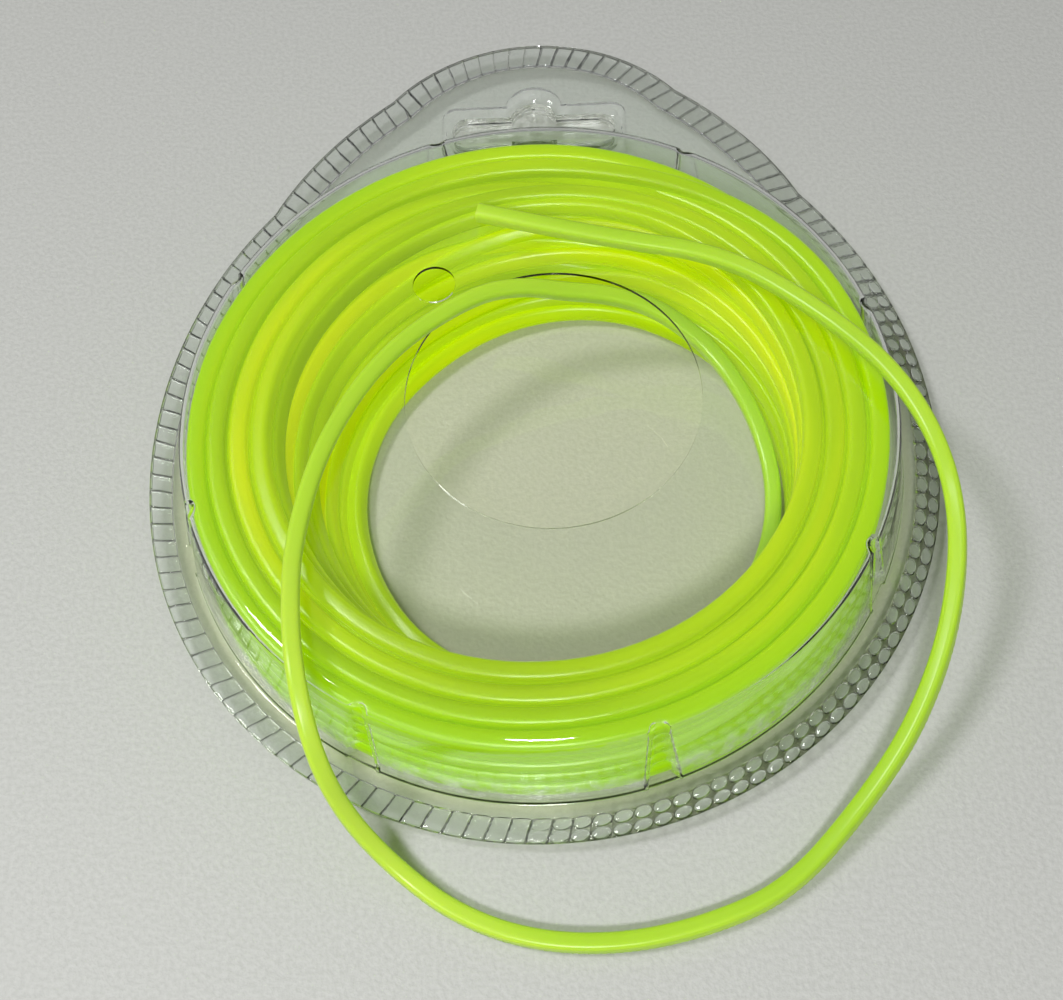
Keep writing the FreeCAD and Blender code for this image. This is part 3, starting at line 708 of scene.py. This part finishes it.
def sheet_material():
    """Clear formed plastic: it refracts, and lets light through to what it covers. The weld band is
    pressed between a knurled bar and a flat one, with painted shade in its grooves; the wall's foot is
    scuffed and painted milky, partly as a painted reflection; and the tray's floor and the flange by
    the wall are painted with the coil's glow."""
    material = bpy.data.materials.new("clear_formed_sheet")
    material.use_nodes = True
    nodes, links = material.node_tree.nodes, material.node_tree.links
    shader = nodes["Principled BSDF"]
    shader.inputs["Roughness"].default_value = 0.03
    shader.inputs["IOR"].default_value = 1.4
    # A point's tooth number, its place across the band, and whether the band has two rows there.
    band = new_node(material, "ShaderNodeSeparateXYZ")
    band_place = new_node(material, "ShaderNodeUVMap", uv_map="weld_band")
    links.new(band_place.outputs["UV"], band.inputs["Vector"])
    tooth, across = band.outputs["X"], band.outputs["Y"]
    row_place = new_node(material, "ShaderNodeUVMap", uv_map="weld_rows")
    row = new_node(material, "ShaderNodeSeparateXYZ")
    links.new(row_place.outputs["UV"], row.inputs["Vector"])
    two_rows = row.outputs["X"]
    # The teeth lean and aren't quite even. Cell is 0 in the middle of a tooth and 1 between teeth.
    place = new_node(material, "ShaderNodeTexCoord")
    uneven = new_node(material, "ShaderNodeTexNoise", Scale=260.0, Detail=2.0)
    links.new(place.outputs["Object"], uneven.inputs["Vector"])
    leaning = worked_out(material, "MULTIPLY_ADD", across, tooth_lean, tooth)
    leaning = worked_out(material, "MULTIPLY_ADD", uneven.outputs["Fac"], 0.22, leaning)
    part = worked_out(material, "FRACT", leaning)
    cell = worked_out(material, "ABSOLUTE", worked_out(material, "MULTIPLY_ADD", part, 2.0, -1.0))
    # Two rows of leaves at the lower right, a ladder elsewhere, and grooves between them, which are
    # painted dark.
    leaf_long = worked_out(material, "POWER", worked_out(material, "MULTIPLY", cell, 1.12), 2.0)
    leaves = []
    for middle, half in ((0.25, 0.22), (0.74, 0.19)):
        aside = worked_out(material, "MULTIPLY_ADD", across, 1 / half, -middle / half)
        aside = worked_out(material, "ABSOLUTE", aside)
        leaves.append(worked_out(material, "ADD", leaf_long, worked_out(material, "POWER", aside, 2.0)))
    around_leaves = stepped(material, worked_out(material, "MINIMUM", *leaves), 0.8, 1.15)
    off_middle = worked_out(material, "ABSOLUTE", worked_out(material, "SUBTRACT", across, 0.5))
    in_band = worked_out(material, "MULTIPLY", stepped(material, across, -0.04, 0.0),
                         stepped(material, across, 1.01, 1.0))
    ladder = worked_out(material, "MAXIMUM", stepped(material, cell, 0.84, 0.97),
                        stepped(material, off_middle, 0.42, 0.48))
    one_row = worked_out(material, "SUBTRACT", 1.0, two_rows)
    groove = worked_out(material, "ADD", worked_out(material, "MULTIPLY", ladder, one_row),
                        worked_out(material, "MULTIPLY", around_leaves, two_rows))
    groove = worked_out(material, "MULTIPLY", groove, in_band)
    # The grooves' darkness is painted shade, standing in for the dark lines that the grooves'
    # refraction makes. It is darkest at the lower right, and darker in some patches than in others.
    groove_shade_strength = worked_out(material, "MULTIPLY_ADD", two_rows, 0.7, 0.15)
    patchy = stepped(material, uneven.outputs["Fac"], 0.25, 0.6)
    patchy = worked_out(material, "MULTIPLY_ADD", patchy, 0.5, 0.5)
    groove_shade_strength = worked_out(material, "MULTIPLY", groove_shade_strength, patchy)
    dark = worked_out(material, "MULTIPLY", groove, groove_shade_strength)
    # Painted shade: the sheet's colour is darkened where the grooves are.
    tint = new_node(material, "ShaderNodeMix", data_type="RGBA")
    tint.inputs["A"].default_value = (0.97, 0.985, 0.975, 1)
    tint.inputs["B"].default_value = (0.68, 0.69, 0.59, 1)
    links.new(dark, tint.inputs["Factor"])
    # The tray's floor and the flange beside the wall are painted a faint yellow-green: painted light
    # that stands in for the coil's glow falling on them.
    spot = new_node(material, "ShaderNodeSeparateXYZ")
    links.new(place.outputs["Object"], spot.inputs["Vector"])
    level, from_axis = spot.outputs["Z"], distance_from_axis(material)
    tray = worked_out(material, "MULTIPLY", stepped(material, level, 1.2 * MM, 0.7 * MM),
                      stepped(material, from_axis, 49 * MM, 46 * MM))
    by_wall = worked_out(material, "MULTIPLY", stepped(material, level, 3.1 * MM, 3.02 * MM),
                         stepped(material, from_axis, 54 * MM, 51 * MM))
    coil_light_mask = worked_out(material, "MAXIMUM", tray, worked_out(material, "MULTIPLY", by_wall, 0.6))
    painted_coil_light = new_node(material, "ShaderNodeMix", data_type="RGBA")
    painted_coil_light.inputs["B"].default_value = (0.95, 0.95, 0.79, 1)
    links.new(coil_light_mask, painted_coil_light.inputs["Factor"])
    links.new(tint.outputs["Result"], painted_coil_light.inputs["A"])
    links.new(painted_coil_light.outputs["Result"], shader.inputs["Base Color"])
    # The wall's foot is scuffed, so it is less clear and less smooth. Its milky whitening is partly the
    # scuffs and partly a painted reflection of the bright table in the wall.
    foot = worked_out(material, "MULTIPLY", stepped(material, level, 3.2 * MM, 4.2 * MM),
                      stepped(material, level, 9.5 * MM, 6.0 * MM))
    scuffs = new_node(material, "ShaderNodeTexNoise", Scale=420.0, Detail=5.0, Roughness=0.7)
    links.new(place.outputs["Object"], scuffs.inputs["Vector"])
    foot = worked_out(material, "MULTIPLY", foot, stepped(material, scuffs.outputs["Fac"], 0.35, 0.75))
    # The weld band's cells are made a little milky too, a painted lightening that stands in for their
    # sheen.
    cells = worked_out(material, "SUBTRACT", in_band, groove)
    clear = worked_out(material, "MULTIPLY_ADD", cells, -0.03, 1.0)
    clear = worked_out(material, "MULTIPLY_ADD", foot, -0.28, clear)
    links.new(clear, shader.inputs["Transmission Weight"])
    # The whole sheet is faintly wavy, and the leaves and the ladder's fields are raised.
    waves = new_node(material, "ShaderNodeTexNoise", Scale=75.0, Detail=1.0)
    links.new(place.outputs["Object"], waves.inputs["Vector"])
    waved = new_node(material, "ShaderNodeBump", Strength=1.0, Distance=0.35 * MM)
    links.new(waves.outputs["Fac"], waved.inputs["Height"])
    pressed = new_node(material, "ShaderNodeBump", Strength=1.0, Distance=0.22 * MM)
    links.new(cells, pressed.inputs["Height"])
    links.new(waved.outputs["Normal"], pressed.inputs["Normal"])
    scuffed = new_node(material, "ShaderNodeBump", Strength=0.3, Distance=0.12 * MM)
    links.new(worked_out(material, "MULTIPLY", foot, scuffs.outputs["Fac"]), scuffed.inputs["Height"])
    links.new(pressed.outputs["Normal"], scuffed.inputs["Normal"])
    links.new(scuffed.outputs["Normal"], shader.inputs["Normal"])
    # Soft light and the lamps' light pass straight through, and the weld band stops some of them.
    passing = new_node(material, "ShaderNodeBsdfTransparent")
    stopped = worked_out(material, "MULTIPLY", dark, 0.6)
    stopped = worked_out(material, "MULTIPLY_ADD", in_band, 0.25, stopped)
    let_through = new_node(material, "ShaderNodeMix", data_type="RGBA")
    let_through.inputs["A"].default_value = (0.975, 0.98, 0.97, 1)
    let_through.inputs["B"].default_value = (0.40, 0.42, 0.36, 1)
    links.new(stopped, let_through.inputs["Factor"])
    links.new(let_through.outputs["Result"], passing.inputs["Color"])
    to_soft_light = but_for_rays(material, "Is Diffuse Ray", shader, passing)
    to_lamps = but_for_rays(material, "Is Shadow Ray", to_soft_light, passing)
    links.new(to_lamps.outputs["Shader"], nodes["Material Output"].inputs["Surface"])
    return material


clear_sheet = sheet_material()
wall = np.array([wall_foot - face_edge, -dome_height])
wall_out = np.array([dome_height, wall_foot - face_edge]) / np.linalg.norm(wall)
outside_corner, outside_foot = np.array([face_edge, face_top]), np.array([wall_foot, flange_top])
inside_corner = outside_corner - wall_out * sheet
inside_corner += wall * ((inside_corner[1] - (face_top - sheet)) / dome_height)
inside_foot = outside_foot - wall_out * sheet
inside_foot += wall * ((inside_foot[1] - seam) / dome_height)
bend_out, bend_in = 2.0 * MM, 1.5 * MM
wall_steps = 9


def dome_profile(corner, foot, top_bend, foot_bend):
    """The dome's profile from its face down to its flange: a bend, the wall and a bend."""
    top_arc = bent(corner - (5 * MM, 0), corner, foot, top_bend, 9)
    foot_arc = bent(corner, foot, foot + (5 * MM, 0), foot_bend, 6)
    down = foot_arc[0] - top_arc[-1]
    wall_points = [top_arc[-1] + down * step / wall_steps for step in range(1, wall_steps)]
    return top_arc + wall_points + foot_arc


hole_middle, hole_size = np.array([2.3, 0.73]) * MM, 20 * MM


def flat_ring(middle, reach, level, every):
    """A ring round a middle, at one level, with a point on every so many spokes."""
    angles = spoke_angle[::every]
    return np.column_stack([middle[0] + reach * np.cos(angles), middle[1] + reach * np.sin(angles),
                            np.full(len(angles), level)])


def face_rings(edge, level):
    """Rings across the flat face, from its bend in to the dispensing hole."""
    return [flat_ring(hole_middle * share, edge * (1 - share) + hole_size * share, level, every)
            for share, every in ((0.12, 1), (0.35, 3), (0.7, 3), (1.0, 6))]


def front_rings(profile, level, thickness, pressed, face_level):
    """All rings of one side of the front sheet, from its rim in."""
    foot = notched(np.full(spokes, profile[-1][0]), level, thickness)
    return (flange_rings(foot, level, pressed, 1, 56)[::-1] + upright_rings(profile, thickness)[::-1]
            + face_rings(profile[0][0], face_level))


outside = dome_profile(outside_corner, outside_foot, bend_out, 0.6 * MM)
inside = dome_profile(inside_corner, inside_foot, bend_in, 1.1 * MM)
front = sheet_piece("front_sheet", front_rings(outside, flange_top, 0, 0.3 * MM, face_top),
                    front_rings(inside, seam, sheet, 0.15 * MM, face_top - sheet), False)
small_middle, small_size = (-14.0 * MM, 19.6 * MM), 3 * MM
small_hole = [(small_middle[0] + small_size * math.cos(a), small_middle[1] + small_size * math.sin(a))
              for a in np.linspace(0, 2 * math.pi, 72, endpoint=False)]
punch(front, small_hole, 16 * MM, 19 * MM)
punch(front, hang_outline(), 1 * MM, 5 * MM)
front.data.shade_smooth()
front.data.set_sharp_from_angle(angle=math.radians(40))
front.data.materials.append(clear_sheet)
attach(front, "pack")
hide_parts("front_cover")

# Back cover: the same clear sheet, formed into a shallow tray with the same flange, and welded to the
# front cover under the pressed band. The pack stands on the tray's floor.
tray_floor, tray_rim, tray_top = 49.5 * MM, 50.8 * MM, 2.0 * MM


def tray_profile(floor_reach, floor_level, rim_reach, rim_level, floor_bend, rim_bend):
    """The tray's profile from its floor up to its flange: two bends and a short wall between them."""
    floor_corner, rim_corner = np.array([floor_reach, floor_level]), np.array([rim_reach, rim_level])
    low = bent(floor_corner - (5 * MM, 0), floor_corner, rim_corner, floor_bend, 5)
    high = bent(floor_corner, rim_corner, rim_corner + (5 * MM, 0), rim_bend, 4)
    return low + high


def tray_rings(profile, level, pressed, floor_level):
    """All rings of one side of the back sheet, from its rim in to the middle of its floor."""
    rings = flange_rings(np.full(spokes, profile[-1][0]), level, pressed, 0, 12)[::-1]
    rings += [whole_ring(reach, height) for reach, height in profile[::-1]]
    return rings + [flat_ring((0, 0), profile[0][0] * share, floor_level, every)
                    for share, every in ((0.97, 3), (0.9, 9), (0.6, 27), (0.3, 54), (0.1, 108))]


tray_inset, seam_gap = 0.25 * MM, 0.02 * MM
tray_under = tray_profile(tray_floor, 0, tray_rim, tray_top, 0.7 * MM, 0.4 * MM)
tray_over = tray_profile(tray_floor - tray_inset, sheet, tray_rim - tray_inset, seam,
                         0.4 * MM, 0.7 * MM)
back = sheet_piece("back_sheet", tray_rings(tray_over, seam - seam_gap, 0.15 * MM, sheet),
                   tray_rings(tray_under, tray_top, -0.35 * MM, 0), True)
punch(back, hang_outline(), 1 * MM, 5 * MM)
back.data.shade_smooth()
back.data.set_sharp_from_angle(angle=math.radians(40))
back.data.materials.append(clear_sheet)
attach(back, "pack")
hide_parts("back_cover")

# Table: what the pack lies on, a plain pale board whose coat has a fine grain. It belongs to the scene
# and not to the part.
table_half, table_level = 1.5, -0.04 * MM
table_mesh = bpy.data.meshes.new("table")
table_mesh.from_pydata([(x * table_half, y * table_half, table_level)
                        for x, y in ((-1, -1), (1, -1), (1, 1), (-1, 1))], [], [(0, 1, 2, 3)])
table = placed("table", table_mesh)
table_material = bpy.data.materials.new("pale_table")
table_material.use_nodes = True
table_links = table_material.node_tree.links
table_shader = table_material.node_tree.nodes["Principled BSDF"]
table_shader.inputs["Roughness"].default_value = 0.6
grain_place = new_node(table_material, "ShaderNodeTexCoord")
grain = new_node(table_material, "ShaderNodeTexNoise", Scale=1500.0, Detail=2.0)
table_links.new(grain_place.outputs["Object"], grain.inputs["Vector"])
grain_tint = new_node(table_material, "ShaderNodeValToRGB")
grain_ends = (0.35, (0.42, 0.424, 0.40, 1)), (0.65, (0.46, 0.464, 0.44, 1))
for end, (position, colour) in zip(grain_tint.color_ramp.elements, grain_ends):
    end.position, end.color = position, colour
table_links.new(grain.outputs["Fac"], grain_tint.inputs["Fac"])
table_links.new(grain_tint.outputs["Color"], table_shader.inputs["Base Color"])
grain_bump = new_node(table_material, "ShaderNodeBump", Strength=0.35, Distance=0.3 * MM)
table_links.new(grain.outputs["Fac"], grain_bump.inputs["Height"])
table_links.new(grain_bump.outputs["Normal"], table_shader.inputs["Normal"])
table_mesh.materials.append(table_material)

# Light: a round soft lamp high up on the left, like a window's light, a smaller one above the viewer,
# and a plain pale room.


def lamp(name, place, size, power):
    """A round soft lamp that faces the part."""
    light = bpy.data.lights.new(name, "AREA")
    light.shape = "DISK"
    light.size = size
    light.energy = power
    holder = placed(name, light)
    holder.location = place
    holder.rotation_euler = (-Vector(place)).to_track_quat("-Z", "Y").to_euler()


lamp("window", (-0.40, 0.04, 0.72), 0.20, 3.5)
lamp("ceiling", (-0.03, -0.34, 0.45), 0.10, 2.0)
world = bpy.data.worlds.new("room")
bpy.context.scene.world = world
world.use_nodes = True
world.node_tree.nodes["Background"].inputs["Color"].default_value = (0.97, 0.98, 1.0, 1)
world.node_tree.nodes["Background"].inputs["Strength"].default_value = 0.24
bpy.context.scene.view_settings.view_transform = "Standard"
